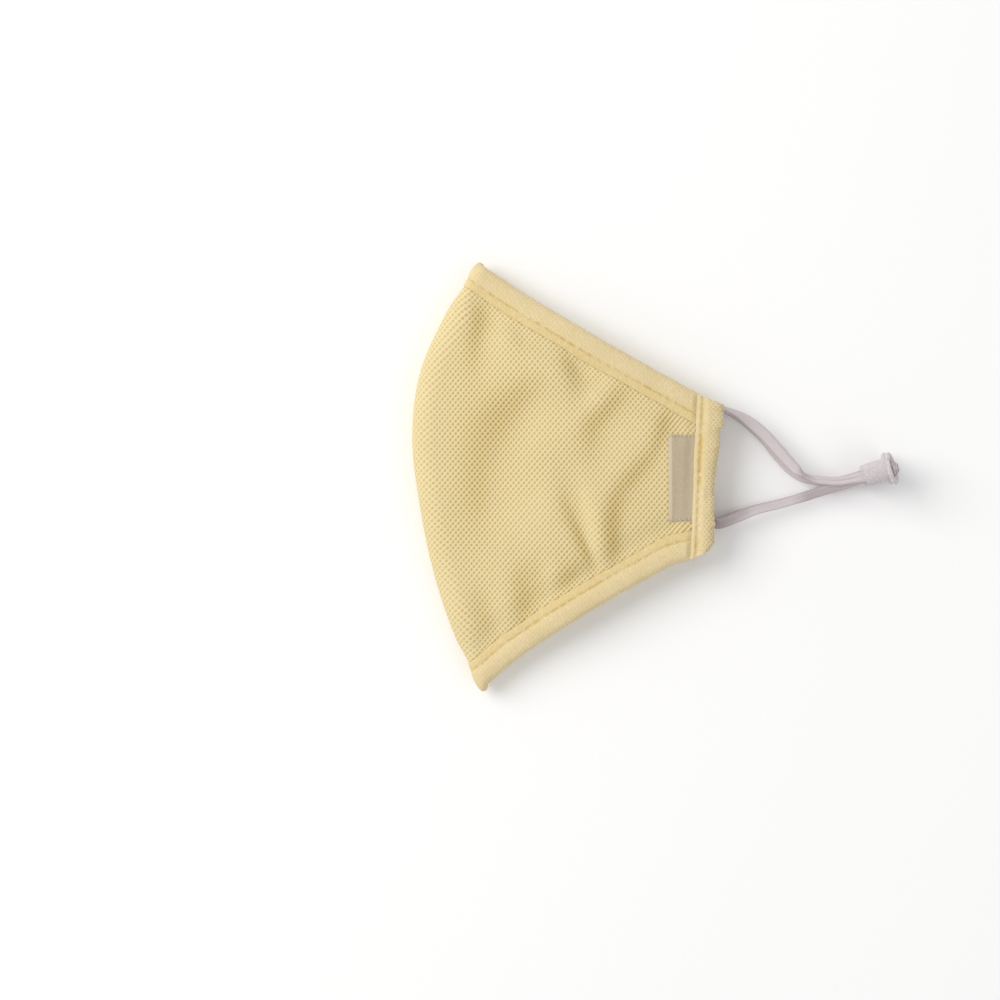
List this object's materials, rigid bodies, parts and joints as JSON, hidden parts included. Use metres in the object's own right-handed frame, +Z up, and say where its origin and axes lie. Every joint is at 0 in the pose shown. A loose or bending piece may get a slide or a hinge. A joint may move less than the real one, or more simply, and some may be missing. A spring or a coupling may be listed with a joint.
{
  "type": "child respirator mask",
  "caption": "Child's cup-shaped cloth respirator mask folded flat along its centre front seam, with elastic ear loops and cord locks.",
  "frame": {"origin": "on the surface that the mask lies on, under the middle of the folded cloth", "axes": "+Y along the centre front towards the nose end, +X from the centre front towards the ear loops, +Z up through the fold from the wearer's right half to the left half"},
  "size_m": [0.1467, 0.1284, 0.0186],
  "materials": {
    "honeycomb_knit": "matte",
    "hem_knit": "matte",
    "woven_label": "satin",
    "elastic": "matte",
    "silicone": "satin"
  },
  "bodies": {
    "root": {"panel_left": "honeycomb_knit", "panel_right": "honeycomb_knit", "top_hem_left": "hem_knit", "top_hem_right": "hem_knit", "bottom_hem_left": "hem_knit", "bottom_hem_right": "hem_knit", "side_casing_left": "hem_knit", "side_casing_right": "hem_knit", "label": "woven_label", "ear_loop_left": "elastic", "ear_loop_right": "elastic", "cord_lock_left": "silicone", "cord_lock_right": "silicone"}
  },
  "joints": []
}
